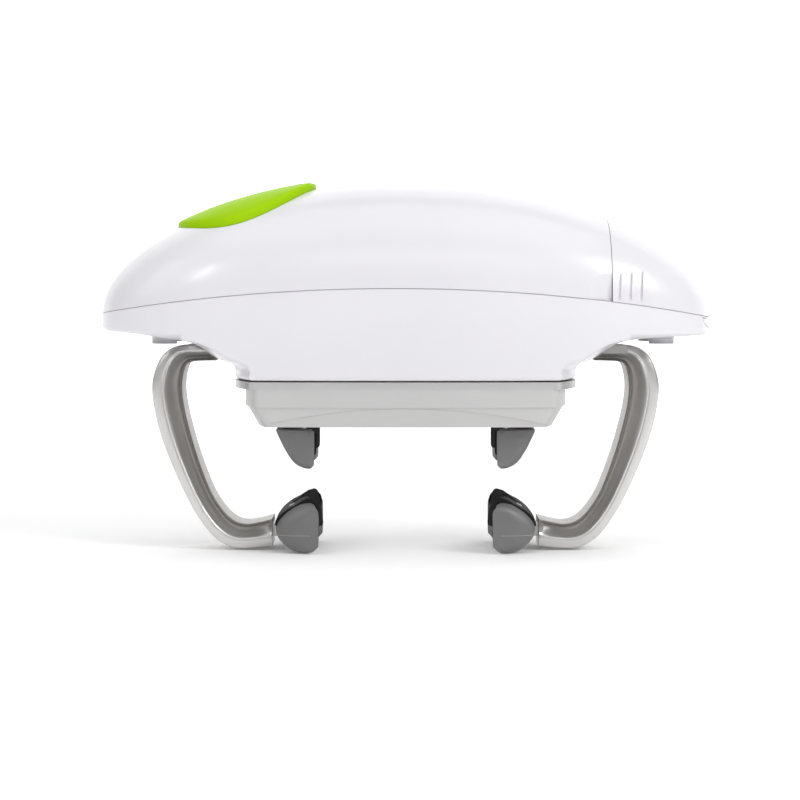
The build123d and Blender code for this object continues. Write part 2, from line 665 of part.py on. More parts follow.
grip_form = across(grip_profile(), GRIP_HALF_WIDTH)
end_edges = [e for e in grip_form.edges().filter_by(GeomType.BSPLINE) if is_flat_in_y(e)]
grip_form = fillet(end_edges, GRIP_ROUND)
grip_back = GRIP_VERTEX_X - PAD_THICKNESS
grip_slope = GRIP_TIP_X - GRIP_VERTEX_X
grip = grip_form - vee(grip_back, grip_back + grip_slope, GRIP_HALF_WIDTH, -5, 30)
grip -= tongue
pad = grip_form & vee(grip_back, grip_back + grip_slope, GRIP_HALF_WIDTH, 0.8, 17.2)
pad -= vee(GRIP_VERTEX_X, GRIP_TIP_X, GRIP_HALF_WIDTH, -5, 30)
nodes["jar_grip_left"] = grip
nodes["jar_grip_right"] = mirrored(grip)
nodes["jar_pad_left"] = pad
nodes["jar_pad_right"] = mirrored(pad)


# ---- carrier ----

def bulged_plan(half_length, half_width, end_bulge, side_bulge, z, corner):
    """Oblong plan with slightly bowed sides and ends and rounded corners."""
    a, b = half_length, half_width
    edges = [
        ThreePointArc((a, -b, 0), (a + end_bulge, 0, 0), (a, b, 0)),
        ThreePointArc((a, b, 0), (0, b + side_bulge, 0), (-a, b, 0)),
        ThreePointArc((-a, b, 0), (-a - end_bulge, 0, 0), (-a, -b, 0)),
        ThreePointArc((-a, -b, 0), (0, -b - side_bulge, 0), (a, -b, 0)),
    ]
    face = make_face(edges)
    sketch = Sketch() + face
    sketch = fillet(sketch.vertices(), corner)
    return Pos(0, 0, z) * sketch


def carrier_form(inset, pinch=0.0):
    """Tapered drum with a short upright band at its top; pinch narrows its foot."""
    band_z = 50.4
    wide = bulged_plan(51.0 - inset, 28.4 - inset, 4.3, 1.6, band_z, 3.0)
    form = extrude(wide, amount=CARRIER_TOP_Z - inset - band_z, dir=(0, 0, 1))
    top = bulged_plan(50.4 - inset, 27.9 - inset, 4.3, 1.6, band_z, 3.0)
    bottom = bulged_plan(47.2 - inset, 26.2 - inset - pinch, 3.6, 1.4, CARRIER_BOTTOM_Z, 3.0)
    return form + loft([bottom, top], ruled=True)


def below_arch(drop):
    """Everything under the arched line along the carrier's side."""
    arch = ThreePointArc(
        (-60, 0, 41.2 - drop),
        (0, 0, 50.0 - drop),
        (60, 0, 41.2 - drop),
    )
    sides = Polyline(*raised([(60, 41.2 - drop), (60, 30), (-60, 30), (-60, 41.2 - drop)]))
    return across([arch, sides], 50)


CARRIER_SCREW_PLACES = [(x, y) for x in (-26, 26) for y in (-19, 19)]
COVER_SCREW_PLACES = [(x, y) for x in (-40, 40) for y in (-18.5, 18.5)]
carrier_outer = carrier_form(0)
carrier_inner = carrier_form(CARRIER_WALL)
cavity = carrier_inner & block(-70, 70, -50, 50, 46.0, 70)
carrier_all = carrier_outer - cavity
floor_slab = block(-70, 70, -50, 50, 30, 46.05)
carrier = carrier_all - below_arch(0) - (carrier_inner & floor_slab)
for x, y in COVER_SCREW_PLACES:
    carrier += rod(x, y, 47.4, 54.4, 2.8)
    carrier -= rod(x, y, 40, 52.5, 1.1)
for x, y in CARRIER_SCREW_PLACES:
    carrier -= rod(x, y, 50, 60, 1.3)
carrier -= rod(0, 0, 40, 60, SHAFT_RADIUS)
nodes["carrier_housing"] = carrier

skirt = (carrier_form(0, COVER_PINCH) - cavity) & below_arch(0.05)
cover = skirt + (carrier_form(CARRIER_WALL + 0.1, COVER_PINCH) & floor_slab)
NECK_SLOT = (-46.4, -17.4)
for sign in (-1, 1):
    x0, x1 = sorted((sign * NECK_SLOT[0], sign * NECK_SLOT[1]))
    cover -= block(x0, x1, -4.6, 4.6, 40, 48)
cover += rod(0, 0, 45.0, 52.4, 3.0)
cover += rod(0, 0, 45.0, 48.3, 4.6)
cover -= block(-37, 37, -21, 21, 40, 44.3) - block(-20, 20, -5, 5, 30, 50)
for x, y in COVER_SCREW_PLACES:
    cover -= rod(x, y, 40, 60, 1.3)
    cover -= rod(x, y, 40, 44.8, 2.4)
nodes["carrier_cover"] = cover

flange_plan = bulged_plan(52.0, 28.4, 7.0, 1.6, CARRIER_TOP_Z, 2.5)
flange = extrude(flange_plan, amount=FLANGE_TOP_Z - CARRIER_TOP_Z, dir=(0, 0, 1))
flange -= rod(0, 0, 50, 60, SHAFT_RADIUS)
for x, y in CARRIER_SCREW_PLACES:
    flange -= rod(x, y, 50, 58.4, 1.1)
nodes["carrier_flange"] = flange

nodes["carrier_screws"] = [
    cap_screw(x, y, 52.6, 58.2, 1.1, 2.4, 1.4) for x, y in CARRIER_SCREW_PLACES
]
nodes["cover_screws"] = [
    cap_screw(x, y, 43.9, 52.0, 1.1, 2.2, 0.9) for x, y in COVER_SCREW_PLACES
]

# ---- jaw drive inside the carrier ----
nodes["jaw_pinion"] = gear(
    JAW_PINION_TEETH, 1.0, JAW_RACK_BOTTOM_Z, JAW_RACK_TOP_Z, 3.0 + RUNNING_CLEARANCE, 90.0
)
slider = rack(-34, 22.5, JAW_RACK_Y, 11.5, JAW_RACK_BOTTOM_Z, JAW_RACK_TOP_Z, 1.0, 7)
slider += block(-43.0, -33.0, -4.2, 11.5, 46.1, JAW_RACK_TOP_Z)
slider += block(-42.4, -34.0, -4.2, 4.2, JAW_TOP_Z, 47.0)
JAW_SCREWS = [(-39.5, 0), (-35.7, 0)]
for x, y in JAW_SCREWS:
    slider -= rod(x, y, 40, 49, 1.1)
nodes["jaw_slider_left"] = slider
nodes["jaw_slider_right"] = turned(slider)


# ---- lid jaws ----

def jaw_profile():
    """Side outline of the left lid jaw: a hooked fang."""
    back = Spline(
        *raised([(-44.3, JAW_TOP_Z), (-42.5, 38.2), (-40.4, 34.2), (-37.5, 30.4), (-31.6, 28.7)])
    )
    front = Polyline(*raised([(-31.6, 28.7), (-30.6, 28.7), (-31.6, JAW_TOP_Z), (-44.3, JAW_TOP_Z)]))
    return [back, front]


JAW_PLATE_Z = 40.5
jaw_form = across(jaw_profile(), JAW_HALF_WIDTH)
jaw_back = JAW_VERTEX_X - PAD_THICKNESS
jaw_slope = JAW_TIP_X - JAW_VERTEX_X
jaw = jaw_form - vee(jaw_back, jaw_back + jaw_slope, JAW_HALF_WIDTH, 20, JAW_PLATE_Z)
for x, y in JAW_SCREWS:
    jaw -= rod(x, y, 30, 50, 1.2)
    jaw -= rod(x, y, 30, 41.4, 2.0)
nodes["lid_jaw_left"] = jaw
nodes["lid_jaw_right"] = mirrored(jaw)
lid_pad = jaw_form & vee(jaw_back, jaw_back + jaw_slope, JAW_HALF_WIDTH, 20, JAW_PLATE_Z)
lid_pad -= vee(JAW_VERTEX_X, JAW_TIP_X, JAW_HALF_WIDTH, 10, 50)
nodes["lid_pad_left"] = lid_pad
nodes["lid_pad_right"] = mirrored(lid_pad)
jaw_screws = [cap_screw(x, y, 40.6, 48.5, 1.1, 1.9, 0.8) for x, y in JAW_SCREWS]
nodes["jaw_screws_left"] = jaw_screws
nodes["jaw_screws_right"] = [turned(s) for s in jaw_screws]


# ---- leads ----

def lead(points, radius, bend):
    """Insulated wire along a rounded path."""
    path = FilletPolyline(*points, radius=bend)
    start = Plane(origin=path @ 0, z_dir=path % 0)
    return sweep(start * Circle(radius), path=path)


nodes["battery_leads"] = [
    lead([(38.6, 9, 89), (32, 9, 89), (30, 22, 98), (-20, 24, 101), (-31, 12, 101)], 0.7, 3),
    lead([(38.6, -9, 89), (32, -9, 89), (30, -22, 98), (-20, -24, 101), (-31, -12, 101)], 0.7, 3),
]

os.makedirs("parts", exist_ok=True)
for name, shape in nodes.items():
    if isinstance(shape, list):
        shape = Compound(children=[Part() + s for s in shape])
    export_step(shape, f"parts/{name}.step")
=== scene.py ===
import json
import math
import bmesh
import bpy
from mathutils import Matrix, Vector

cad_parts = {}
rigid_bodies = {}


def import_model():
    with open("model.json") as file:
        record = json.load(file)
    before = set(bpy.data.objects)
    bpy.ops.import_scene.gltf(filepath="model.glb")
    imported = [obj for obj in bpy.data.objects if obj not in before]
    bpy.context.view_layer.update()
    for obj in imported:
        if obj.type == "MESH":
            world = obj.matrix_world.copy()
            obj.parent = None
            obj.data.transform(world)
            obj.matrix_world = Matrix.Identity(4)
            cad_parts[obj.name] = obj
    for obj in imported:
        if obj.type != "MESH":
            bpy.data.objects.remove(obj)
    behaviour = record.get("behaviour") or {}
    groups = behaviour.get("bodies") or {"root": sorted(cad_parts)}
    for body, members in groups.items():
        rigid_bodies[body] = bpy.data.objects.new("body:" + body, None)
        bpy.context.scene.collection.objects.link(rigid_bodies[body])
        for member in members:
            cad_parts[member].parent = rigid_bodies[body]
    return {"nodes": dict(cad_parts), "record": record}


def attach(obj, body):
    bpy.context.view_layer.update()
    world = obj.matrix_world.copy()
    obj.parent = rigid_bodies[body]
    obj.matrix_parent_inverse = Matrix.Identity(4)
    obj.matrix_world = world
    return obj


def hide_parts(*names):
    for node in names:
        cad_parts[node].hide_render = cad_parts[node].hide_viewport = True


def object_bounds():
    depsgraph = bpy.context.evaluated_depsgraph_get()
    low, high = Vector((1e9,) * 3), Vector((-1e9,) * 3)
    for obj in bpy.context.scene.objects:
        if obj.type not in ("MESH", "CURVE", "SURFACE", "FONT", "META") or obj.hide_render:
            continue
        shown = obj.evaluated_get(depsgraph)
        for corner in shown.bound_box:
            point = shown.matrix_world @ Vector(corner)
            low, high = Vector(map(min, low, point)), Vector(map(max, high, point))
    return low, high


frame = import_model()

cad_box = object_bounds()
scene = bpy.context.scene
nodes = frame["nodes"]


# ---- materials ----

def new_material(name):
    """A material with a Principled shader; returns (material, nodes, links, shader)."""
    mat = bpy.data.materials.new(name)
    mat.use_nodes = True
    tree = mat.node_tree
    shader = tree.nodes["Principled BSDF"]
    return mat, tree.nodes, tree.links, shader


def surface(name, low, high, rough, metallic=0.0, coat=0.0, grain=400.0, bump=0.02,
            patch=25.0, rough_spread=0.06, gloss=0.5, stretch=(1, 1, 1)):
    """Moulded or finished surface: a colour that drifts, fine grain and uneven gloss."""
    mat, n, l, shader = new_material(name)
    coords = n.new("ShaderNodeTexCoord")
    mapping = n.new("ShaderNodeMapping")
    mapping.inputs["Scale"].default_value = stretch
    l.new(coords.outputs["Object"], mapping.inputs["Vector"])
    drift = n.new("ShaderNodeTexNoise")
    drift.inputs["Scale"].default_value = patch
    drift.inputs["Detail"].default_value = 3.0
    l.new(mapping.outputs["Vector"], drift.inputs["Vector"])
    ramp = n.new("ShaderNodeValToRGB")
    ramp.color_ramp.elements[0].position = 0.32
    ramp.color_ramp.elements[1].position = 0.68
    ramp.color_ramp.elements[0].color = (*low, 1)
    ramp.color_ramp.elements[1].color = (*high, 1)
    l.new(drift.outputs["Fac"], ramp.inputs["Fac"])
    l.new(ramp.outputs["Color"], shader.inputs["Base Color"])
    fine = n.new("ShaderNodeTexNoise")
    fine.inputs["Scale"].default_value = grain
    fine.inputs["Detail"].default_value = 4.0
    l.new(mapping.outputs["Vector"], fine.inputs["Vector"])
    spread = n.new("ShaderNodeMapRange")
    spread.inputs["From Min"].default_value = 0.3
    spread.inputs["From Max"].default_value = 0.7
    spread.inputs["To Min"].default_value = max(0.02, rough - rough_spread)
    spread.inputs["To Max"].default_value = rough + rough_spread
    l.new(fine.outputs["Fac"], spread.inputs["Value"])
    l.new(spread.outputs["Result"], shader.inputs["Roughness"])
    relief = n.new("ShaderNodeBump")
    relief.inputs["Strength"].default_value = bump
    relief.inputs["Distance"].default_value = 0.0004
    l.new(fine.outputs["Fac"], relief.inputs["Height"])
    l.new(relief.outputs["Normal"], shader.inputs["Normal"])
    shader.inputs["Metallic"].default_value = metallic
    shader.inputs["Coat Weight"].default_value = coat
    shader.inputs["Coat Roughness"].default_value = 0.08
    shader.inputs["Specular IOR Level"].default_value = gloss
    return mat


white = surface("white_shell", (0.80, 0.79, 0.83), (0.83, 0.82, 0.855), 0.235, coat=0.10,
                gloss=0.42, grain=900, bump=0.008, patch=12, rough_spread=0.02)
green = surface("green_button", (0.345, 0.62, 0.006), (0.385, 0.67, 0.009), 0.34, coat=0.0,
                gloss=0.02, grain=260, bump=0.003, patch=30, rough_spread=0.03)
silver = surface("silver_arm", (0.68, 0.67, 0.66), (0.74, 0.73, 0.72), 0.33, metallic=0.88,
                 grain=600, bump=0.006, patch=40, rough_spread=0.05)


def darken(mat, amount, dark):
    """Blend the material's colour towards dark by the amount that a socket gives."""
    tree = mat.node_tree
    shader = tree.nodes["Principled BSDF"]
    colour = shader.inputs["Base Color"].links[0].from_socket
    mix = tree.nodes.new("ShaderNodeMix")
    mix.data_type = "RGBA"
    tree.links.new(amount, mix.inputs[0])
    tree.links.new(colour, mix.inputs[6])
    mix.inputs[7].default_value = (*dark, 1)
    tree.links.new(mix.outputs[2], shader.inputs["Base Color"])


def step(mat, value, start, end):
    """Socket that goes from 0 to 1 as the value goes from start to end."""
    node = mat.node_tree.nodes.new("ShaderNodeMapRange")
    node.inputs["From Min"].default_value = start
    node.inputs["From Max"].default_value = end
    mat.node_tree.links.new(value, node.inputs["Value"])
    return node.outputs["Result"]


def shade_feet(mat, dark):
    """The feet under both ends take less light than the shell around them."""
    n, l = mat.node_tree.nodes, mat.node_tree.links
    coords = n.new("ShaderNodeTexCoord")
    axes = n.new("ShaderNodeSeparateXYZ")
    l.new(coords.outputs["Object"], axes.inputs["Vector"])
    reach = n.new("ShaderNodeMath")
    reach.operation = "ABSOLUTE"
    l.new(axes.outputs["X"], reach.inputs[0])
    both = n.new("ShaderNodeMath")
    both.operation = "MULTIPLY"
    l.new(step(mat, reach.outputs["Value"], 0.0745, 0.0760), both.inputs[0])
    l.new(step(mat, axes.outputs["Z"], 0.0752, 0.0722), both.inputs[1])
    darken(mat, both.outputs["Value"], dark)


shade_feet(white, (0.36, 0.36, 0.38))


def paint_hollow_shade(mat, dark):
    """Painted shade and painted dark reflection: a darker colour and a less metallic surface where
    the mesh's own "hollow" value is high.
    """
    n, l = mat.node_tree.nodes, mat.node_tree.links
    reader = n.new("ShaderNodeAttribute")
    reader.attribute_name = "hollow"
    darken(mat, reader.outputs["Fac"], dark)
    duller = n.new("ShaderNodeMapRange")
    duller.inputs["To Min"].default_value = 0.88
    duller.inputs["To Max"].default_value = 0.30
    l.new(reader.outputs["Fac"], duller.inputs["Value"])
    l.new(duller.outputs["Result"], n["Principled BSDF"].inputs["Metallic"])


# painted shade and dark reflection down the arms' hollows, darkest in the hollow and on the inner
# lip
paint_hollow_shade(silver, (0.215, 0.197, 0.182))
flange_metal = surface("flange_metal", (0.58, 0.58, 0.58), (0.63, 0.63, 0.63), 0.36,
                       metallic=0.5, grain=1400, bump=0.04, rough_spread=0.07)
carrier_grey = surface("carrier_grey", (0.575, 0.57, 0.568), (0.61, 0.605, 0.603), 0.40,
                       metallic=0.1, grain=1200, bump=0.05, patch=18)
grip_grey = surface("grip_grey", (0.155, 0.153, 0.155), (0.182, 0.180, 0.182), 0.40,
                    gloss=0.62, grain=700, bump=0.03, patch=60)
pad_black = surface("pad_black", (0.010, 0.010, 0.010), (0.016, 0.0155, 0.0155), 0.72,
                    gloss=0.12, grain=700, bump=0.03, patch=70)
steel = surface("screw_steel", (0.45, 0.45, 0.46), (0.60, 0.60, 0.61), 0.30, metallic=1.0,
                grain=1500, bump=0.05, stretch=(1, 1, 0.2))
plate_steel = surface("plate_steel", (0.42, 0.42, 0.43), (0.55, 0.55, 0.56), 0.36,
                      metallic=1.0, grain=900, bump=0.06, stretch=(0.15, 1, 1))
nylon = surface("nylon", (0.70, 0.67, 0.58), (0.76, 0.73, 0.64), 0.45, grain=800, bump=0.06)
rack_grey = surface("rack_grey", (0.40, 0.39, 0.38), (0.46, 0.45, 0.44), 0.40, metallic=0.7,
                    grain=900, bump=0.06)
bronze = surface("bronze", (0.40, 0.26, 0.10), (0.52, 0.35, 0.16), 0.38, metallic=1.0,
                 grain=1200, bump=0.07)
motor_can = surface("motor_can", (0.46, 0.46, 0.47), (0.57, 0.57, 0.58), 0.28, metallic=1.0,
                    grain=1000, bump=0.03, stretch=(1, 1, 0.1))
board_green = surface("board_green", (0.012, 0.09, 0.035), (0.02, 0.13, 0.05), 0.35,
                      grain=500, bump=0.05, patch=150)
switch_black = surface("switch_black", (0.015, 0.015, 0.016), (0.03, 0.03, 0.031), 0.4,
                       grain=900, bump=0.05)
tray_grey = surface("tray_grey", (0.055, 0.055, 0.058), (0.075, 0.075, 0.078), 0.5,
                    grain=900, bump=0.08)
cell_wrap = surface("cell_wrap", (0.02, 0.02, 0.022), (0.04, 0.04, 0.042), 0.25, coat=0.5,
                    grain=600, bump=0.01)
nickel = surface("contact_nickel", (0.60, 0.59, 0.56), (0.70, 0.69, 0.66), 0.22,
                 metallic=1.0, grain=1300, bump=0.03)
lead_red = surface("lead_red", (0.42, 0.02, 0.015), (0.52, 0.03, 0.02), 0.4, grain=700,
                   bump=0.03)
# lighter grey of the grips' moulding line: painted highlight along the real bead
bead_highlight_grey = surface("bead_highlight_grey", (0.30, 0.30, 0.30), (0.36, 0.36, 0.36), 0.5, grain=900)
# grey of the seam strip: painted shade inside the gap between the housings
seam_shade_grey = surface("seam_shade_grey", (0.40, 0.39, 0.43), (0.45, 0.44, 0.48), 0.6, gloss=0.2,
                    grain=500, bump=0.01)

BY_SLOT = {
    "white_shell": white, "green_button": green, "silver_arm": silver,
    "grip_grey": grip_grey, "pad_black": pad_black, "carrier_grey": carrier_grey,
    "flange_metal": flange_metal, "screw_steel": steel, "plate_steel": plate_steel,
    "nylon": nylon, "rack_grey": rack_grey, "bronze": bronze, "motor_can": motor_can,
    "board_green": board_green, "switch_black": switch_black, "tray_grey": tray_grey,
    "cell_wrap": cell_wrap, "contact_nickel": nickel, "lead_red": lead_red,
}
slot_of = {s["node"]: s["material_slot"] for s in frame["record"]["subparts"]}
for name, obj in nodes.items():
    obj.data.materials.clear()
    obj.data.materials.append(BY_SLOT[slot_of[name]])


# ---- helpers for new pieces ----

MM = 0.001


def along(points, count):
    """Evenly numbered stations on a smooth curve through the points."""
    pts = [Vector(p) for p in points]
    pts = [2 * pts[0] - pts[1]] + pts + [2 * pts[-1] - pts[-2]]
    spans = len(pts) - 3
    out = []
    for i in range(count):
        t = spans * i / (count - 1)
        k = min(int(t), spans - 1)
        u = t - k
        a, b, c, d = pts[k:k + 4]
        out.append(0.5 * (2 * b + (c - a) * u + (2 * a - 5 * b + 4 * c - d) * u * u
                          + (3 * b - a - 3 * c + d) * u ** 3))
    return out


def mesh_object(name, verts, faces, material, smooth=True):
    """Object from points in millimetres."""
    mesh = bpy.data.meshes.new(name)
    mesh.from_pydata([[c * MM for c in v] for v in verts], [], faces)
    mesh.materials.append(material)
    mesh.validate()
    if smooth:
        mesh.shade_smooth()
    obj = bpy.data.objects.new(name, mesh)
    scene.collection.objects.link(obj)
    return obj


def outward(obj):
    """Make every face point out of the piece."""
    work = bmesh.new()
    work.from_mesh(obj.data)
    bmesh.ops.recalc_face_normals(work, faces=work.faces)
    work.to_mesh(obj.data)
    work.free()


def ring_faces(rings, size):
    """Quads between closed rings of one size, open at both ends."""
    faces = []
    for r in range(rings - 1):
        for i in range(size):
            j = (i + 1) % size
            faces.append((r * size + i, r * size + j, (r + 1) * size + j, (r + 1) * size + i))
    return faces


def tube_faces(rings, size):
    """Quads between closed rings of one size, with both ends capped."""
    faces = ring_faces(rings, size)
    faces.append(tuple(range(size)))
    faces.append(tuple((rings - 1) * size + i for i in range(size)))
    return faces


def modifier(obj, kind, **settings):
    """Add a modifier with its settings."""
    mod = obj.modifiers.new(kind.lower(), kind)
    for key, value in settings.items():
        setattr(mod, key, value)
    return mod


def join(name, objs):
    """One object from several."""
    for o in bpy.data.objects:
        o.select_set(False)
    for o in objs:
        o.select_set(True)
    bpy.context.view_layer.objects.active = objs[0]
    bpy.ops.object.join()
    objs[0].name = name
    return objs[0]


def other_side(name, obj):
    """Mirror copy of a piece on the other end of the body."""
    twin = obj.copy()
    twin.name = name
    twin.data = obj.data.copy()
    for v in twin.data.vertices:
        v.co.x = -v.co.x
    twin.data.flip_normals()
    scene.collection.objects.link(twin)
    return twin


# ---- oval button, and the strip that closes the seam between the housings ----

# the body's outer form, as in the CAD
HALF_LENGTH = 105.0
HALF_WIDTH = 38.0
DOME_HEIGHT = 36.0
PLAN_POWER = 2.5
SIDE_POWER = 2.2
DOME_POWER = 2.3
SEAM_CREST = (-4.0, 90.2)
SEAM_RADIUS = 590.0

BUTTON_X = -54.7
BUTTON_OVAL = (23.9, 24.4)
BUTTON_PROUD = 2.35
BUTTON_RISE = 0.35          # prouder by this much at its inner end, less at its outer end
BUTTON_ROUND = 0.9
CAP_SKIN = 0.95             # the hollow's roof is this far under the dome
SKIRT_DROP = 5.2
SKIRT_SHARE = 0.92
PLUNGER_SHARE = 0.092
PLUNGER_END = 104.0

# inset from the body's outline and rise above the seam, round the strip's section
STRIP_SECTION = [(0.35, -0.06), (0.35, 0.31), (1.5, 0.31), (1.5, -0.06)]


def share_left(share, power):
    """Height of a superellipse of unit size at a share of its length."""
    return max(0.0, 1 - abs(share) ** power) ** (1 / power)


def seam_z(x):
    """Height of the line between the two housings."""
    return SEAM_CREST[1] - (x - SEAM_CREST[0]) ** 2 / (2 * SEAM_RADIUS)


def dome_z(x, y, proud):
    """Height of the dome, moved outward by proud, over a point."""
    along_body = x / (HALF_LENGTH + proud)
    width = (HALF_WIDTH + proud) * share_left(along_body, PLAN_POWER)
    height = (DOME_HEIGHT + proud) * share_left(along_body, SIDE_POWER)
    return seam_z(x) + height * share_left(y / width, DOME_POWER)


def button_mesh(name):
    """Hollow oval cap, proud of the dome, with a rounded upper edge and a plunger."""
    turns = 96
    crest = cad_box[1][2] / MM - 0.03

    def ring(share, inset, height):
        """Points round the oval; height gives each one's level."""
        points = []
        for i in range(turns):
            a = 2 * math.pi * i / turns
            x = BUTTON_X + (BUTTON_OVAL[0] - inset) * share * math.cos(a)
            y = (BUTTON_OVAL[1] - inset) * share * math.sin(a)
            points.append((x, y, height(x, y)))
        return points

    def below_top(inset, drop):
        """Height function for the outside of the cap."""
        def height(x, y):
            slope = (x - BUTTON_X) / (BUTTON_OVAL[0] - inset)
            return min(dome_z(x, y, BUTTON_PROUD + BUTTON_RISE * slope), crest) - drop
        return height

    rings = [ring(k / 9, 0.0, below_top(0.0, 0.0)) for k in range(1, 9)]
    for degrees in (0, 22.5, 45, 67.5, 90):
        a = math.radians(degrees)
        inset = BUTTON_ROUND * (1 - math.sin(a))
        rings.append(ring(1.0, inset, below_top(inset, BUTTON_ROUND * (1 - math.cos(a)))))
    for drop in (1.6, 2.6, SKIRT_DROP):
        rings.append(ring(1.0, 0.0, below_top(0.0, drop)))
    rings.append(ring(SKIRT_SHARE, 0.0, below_top(0.0, SKIRT_DROP)))
    for share in (SKIRT_SHARE, 0.78, 0.62, 0.46, 0.30, 0.18, PLUNGER_SHARE):
        rings.append(ring(share, 0.0, lambda x, y: dome_z(x, y, -CAP_SKIN)))
    rings.append(ring(PLUNGER_SHARE, 0.0, lambda x, y: PLUNGER_END))

    verts = [point for points in rings for point in points]
    faces = ring_faces(len(rings), turns)
    centre = len(verts)
    verts.append((BUTTON_X, 0, dome_z(BUTTON_X, 0, BUTTON_PROUD)))
    faces += [(centre, i, (i + 1) % turns) for i in range(turns)]
    faces.append(tuple((len(rings) - 1) * turns + i for i in range(turns)))
    obj = mesh_object(name, verts, faces, green)
    outward(obj)
    return obj


def seam_strip(name):
    """Thin strip just inside the gap, all round the body, in a grey that is painted shade in the
    gap.
    """
    turns = 240
    verts = []
    for i in range(turns):
        a = 2 * math.pi * i / turns
        cx = math.copysign(abs(math.cos(a)) ** (2 / PLAN_POWER), math.cos(a))
        cy = math.copysign(abs(math.sin(a)) ** (2 / PLAN_POWER), math.sin(a))
        for inset, rise in STRIP_SECTION:
            x = (HALF_LENGTH - inset) * cx
            verts.append((x, (HALF_WIDTH - inset) * cy, seam_z(x) + rise))
    faces = []
    for i in range(turns):
        for k in range(4):
            a, b = i * 4, (i + 1) % turns * 4
            m = (k + 1) % 4
            faces.append((a + k, a + m, b + m, b + k))
    obj = mesh_object(name, verts, faces, seam_shade_grey, smooth=False)
    outward(obj)
    return obj


button = button_mesh("oval_button")
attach(button, "button")
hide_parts("power_button")
strip = seam_strip("seam_strip")
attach(strip, "housing")


# ---- silver arms ----

# side outline of the left leg, from its end at the hub to its end at the grip
ARM_OUTER = [(-66.0, 70.6), (-71.5, 70.7), (-77.0, 70.6), (-80.8, 69.6), (-84.6, 65.8),
             (-87.1, 58.0), (-86.6, 50.0), (-84.4, 40.5), (-80.6, 30.0), (-76.0, 19.8),
             (-72.0, 12.4), (-67.5, 6.2), (-63.4, 2.7), (-59.0, 0.9), (-52.6, 0.8), (-46.0, 1.4)]
ARM_INNER = [(-65.0, 65.5), (-69.0, 65.4), (-72.6, 65.2), (-75.0, 64.3), (-76.1, 61.8),
             (-76.8, 57.0), (-76.4, 51.4), (-75.0, 44.5), (-72.6, 35.6), (-69.5, 26.5),
             (-66.4, 19.2), (-62.5, 13.4), (-59.0, 10.3), (-55.0, 9.2), (-50.5, 9.8), (-46.0, 10.9)]
# share of the leg's depth from its outer face, and height of the side face there
ARM_SIDE = [(0.0, 7.0), (0.0, 8.3), (0.03, 9.2), (0.10, 9.6), (0.30, 9.95), (0.35, 9.70),
            (0.39, 9.9), (0.44, 9.6), (0.50, 8.7), (0.57, 7.7), (0.66, 6.8), (0.76, 6.2),
            (0.84, 6.3), (0.89, 7.0), (0.92, 8.0), (0.95, 8.7), (0.985, 8.4), (1.0, 7.8)]
# how dark the painted shade and painted dark reflection make the arm at the same places
ARM_PAINTED_SHADE = [0.30, 0.20, 0.10, 0.02, 0.0, 0.16, 0.0, 0.06, 0.20, 0.32, 0.48, 0.62,
            0.80, 0.88, 0.92, 0.90, 1.0, 1.0]
ARM_BAND = 0.3              # share of the depth that the plain outer band takes up
ARM_END_HALF = 9.6          # the hollow fades out to this height at both ends


def arm_leg(name):
    """Hooked leg: a broad outer band, a hollow down each side and a thin inner lip."""
    stations = 96
    outer = along([(x, 0, z) for x, z in ARM_OUTER], stations)
    inner = along([(x, 0, z) for x, z in ARM_INNER], stations)
    verts = []
    for i in range(stations):
        end = min(1.0, i / 7.0, (stations - 1 - i) / 9.0)
        ease = math.sin(0.5 * math.pi * end) ** 0.5
        ring = []
        for share, y in ARM_SIDE:
            place = outer[i].lerp(inner[i], share)
            if share > ARM_BAND:
                y = ARM_END_HALF + (y - ARM_END_HALF) * ease
            ring.append((place, y))
        for place, y in ring:
            verts.append((place.x, -y, place.z))
        for place, y in reversed(ring):
            verts.append((place.x, y, place.z))
    size = 2 * len(ARM_SIDE)
    obj = mesh_object(name, verts, tube_faces(stations, size), silver)
    # per-point strength of the painted shade and dark reflection, read by the silver material
    hollow = obj.data.attributes.new("hollow", "FLOAT", "POINT")
    for k, value in enumerate((ARM_PAINTED_SHADE + ARM_PAINTED_SHADE[::-1]) * stations):
        hollow.data[k].value = value
    outward(obj)
    return obj


def slab(name, low, high, material):
    """Block with its corners at low and high, to be rounded."""
    (x0, y0, z0), (x1, y1, z1) = low, high
    verts = [(x, y, z) for x in (x0, x1) for y in (y0, y1) for z in (z0, z1)]
    faces = [(0, 1, 3, 2), (4, 6, 7, 5), (0, 4, 5, 1), (2, 3, 7, 6), (0, 2, 6, 4), (1, 5, 7, 3)]
    obj = mesh_object(name, verts, faces, material, smooth=False)
    outward(obj)
    return obj


def arm(name):
    """Leg with the tongue that enters the grip."""
    tongue = slab("tongue", (-48.0, -4.5, 4.5), (-42.2, 4.5, 9.0), silver)
    obj = join(name, [arm_leg("leg"), tongue])
    modifier(obj, "BEVEL", width=0.45 * MM, segments=3, limit_method="ANGLE",
             angle_limit=math.radians(50), harden_normals=False)
    modifier(obj, "WEIGHTED_NORMAL", keep_sharp=False, weight=60)
    return obj


left_arm = arm("silver_arm_left")
right_arm = other_side("silver_arm_right", left_arm)
for piece, side in ((left_arm, "left"), (right_arm, "right")):
    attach(piece, side + "_arm")
    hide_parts("arm_" + side)


# ---- grey lumps and rubber faces of the jar grips and lid jaws ----

def falloff(distance, reach, power=2.3):
    """1 away from an end, falling along a superellipse to 0 at the end."""
    share = min(1.0, max(0.0, 1.0 - distance / reach))
    return (1.0 - share ** power) ** (1.0 / power)


